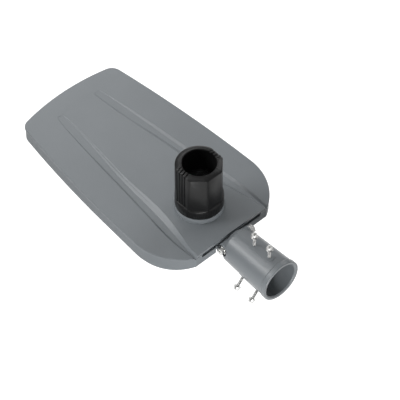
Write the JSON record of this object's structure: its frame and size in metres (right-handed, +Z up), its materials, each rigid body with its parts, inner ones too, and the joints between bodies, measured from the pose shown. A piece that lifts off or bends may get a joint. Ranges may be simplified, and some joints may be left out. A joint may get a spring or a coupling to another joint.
{
  "type": "street light head",
  "caption": "Flat street light head with a tilting slip fitter for a round pole and a twist-lock light sensor on its back.",
  "frame": {"origin": "centre of the slip fitter's mouth, on the axis of its bore", "axes": "+Y runs along the bore into the head, +Z is up through the light sensor, +X is across the head"},
  "size_m": [0.2534, 0.5226, 0.1712],
  "materials": {
    "cover_paint": "grey powder coat over die-cast aluminium, semi-matt",
    "housing_paint": "grey powder coat over die-cast aluminium, semi-matt",
    "spigot_paint": "grey powder coat over die-cast aluminium, semi-matt",
    "black_plastic": "black moulded plastic with a soft sheen",
    "clear_plastic": "clear moulded plastic",
    "toughened_glass": "clear toughened glass",
    "screw_steel": "bright stainless steel",
    "zinc_steel": "plated sheet steel",
    "blade_brass": "plated brass contacts",
    "seal_rubber": "black silicone rubber",
    "board_white": "white solder mask on an aluminium board",
    "board_green": "green circuit board",
    "lamp_yellow": "phosphor-coated lamps",
    "driver_case": "plain metal case",
    "terminal_plastic": "off-white moulded plastic"
  },
  "bodies": {
    "fitter": {"spigot": "spigot_paint", "upper_clamp_screws": "screw_steel", "upper_washers": "screw_steel", "lower_clamp_screws": "screw_steel", "lower_washers": "screw_steel", "pivot_bolt": "screw_steel", "pivot_nut": "screw_steel", "pivot_washers": "screw_steel"},
    "head": {"top_cover": "cover_paint", "cover_gasket": "seal_rubber", "housing": "housing_paint", "cover_screws": "screw_steel", "vent_plug": "black_plastic", "cable_gland": "black_plastic", "tilt_bracket": "housing_paint", "bracket_screws": "screw_steel", "gear_tray": "zinc_steel", "led_driver": "driver_case", "driver_screws": "screw_steel", "surge_protector": "black_plastic", "terminal_block": "terminal_plastic", "door_gasket": "seal_rubber", "gear_door": "housing_paint", "door_screws": "screw_steel", "window_gasket": "seal_rubber", "window_frame": "housing_paint", "window_screws": "screw_steel", "window_glass": "toughened_glass", "led_board": "board_white", "led_chips": "lamp_yellow", "lens_plate": "clear_plastic", "socket": "black_plastic", "socket_screws": "screw_steel"},
    "sensor": {"sensor_blades": "blade_brass", "sensor_gasket": "seal_rubber", "sensor_base": "black_plastic", "sensor_body": "black_plastic", "sensor_window": "clear_plastic", "sensor_board": "board_green"}
  },
  "joints": [
    {"name": "head_tilt", "type": "hinge", "parent": "fitter", "child": "head", "pos_m": [0, 0.104, 0.007], "axis": [1, 0, 0], "range_deg": [-10, 10]},
    {"name": "sensor_twist", "type": "hinge", "parent": "head", "child": "sensor", "pos_m": [0, 0.1894, 0.0295], "axis": [0, 0, 1], "range_deg": [0, 35]}
  ]
}
